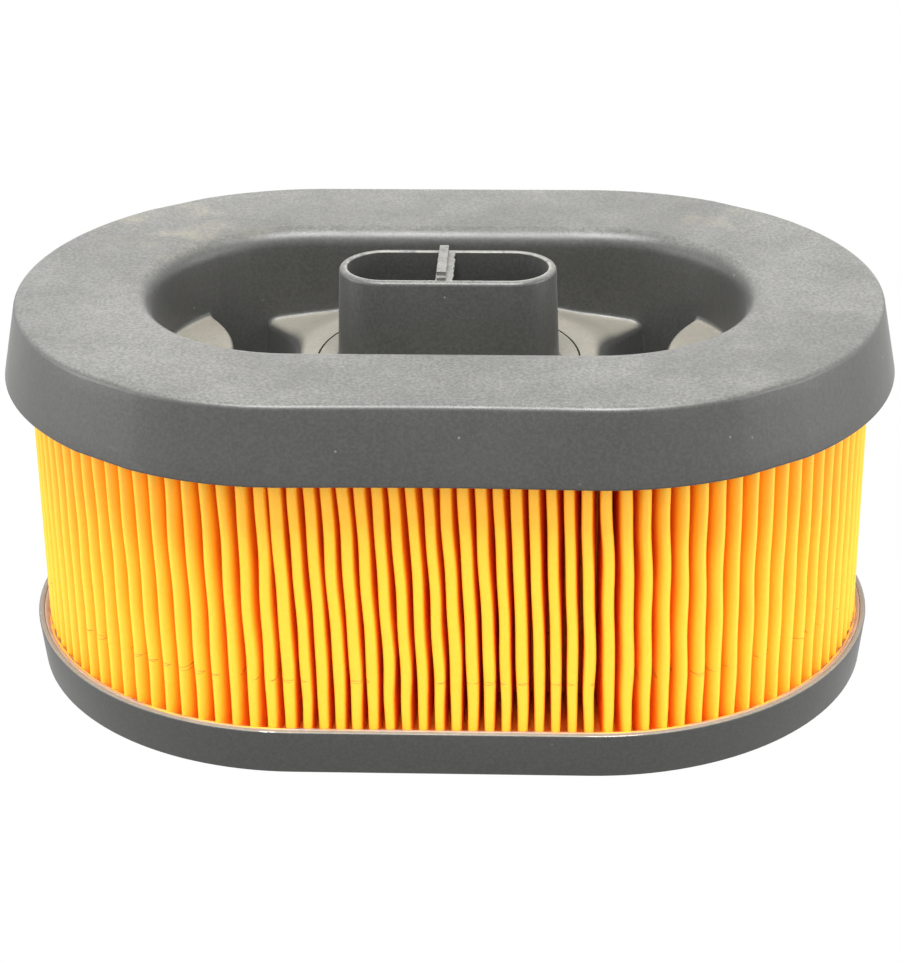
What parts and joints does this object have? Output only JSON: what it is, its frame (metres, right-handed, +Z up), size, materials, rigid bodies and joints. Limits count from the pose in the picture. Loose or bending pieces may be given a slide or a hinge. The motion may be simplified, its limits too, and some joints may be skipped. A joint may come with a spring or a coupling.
{
  "type": "air filter element",
  "caption": "Obround pleated-paper air filter element with a flared top cap, a recessed outlet neck, finger pockets and a closed base pan.",
  "frame": {"origin": "middle of the base pan's resting face, under the middle of the outline", "axes": "+X along the length of the obround, +Y across it, +Z up from the base pan to the outlet neck"},
  "size_m": [0.19, 0.129, 0.0894],
  "materials": {
    "cap_moulding": "satin",
    "filter_paper": "matte",
    "glue": "satin",
    "gasket_rubber": "matte",
    "cage_plastic": "matte"
  },
  "bodies": {
    "root": {"base_cap": "cap_moulding", "lower_glue_bed": "glue", "pleat_pack": "filter_paper", "seam_strip": "glue", "support_cage": "cage_plastic", "upper_glue_bed": "glue", "top_cap": "cap_moulding", "neck_gasket": "gasket_rubber", "outlet_neck": "cap_moulding", "neck_divider": "cap_moulding", "neck_lock_ring": "cap_moulding"}
  },
  "joints": []
}
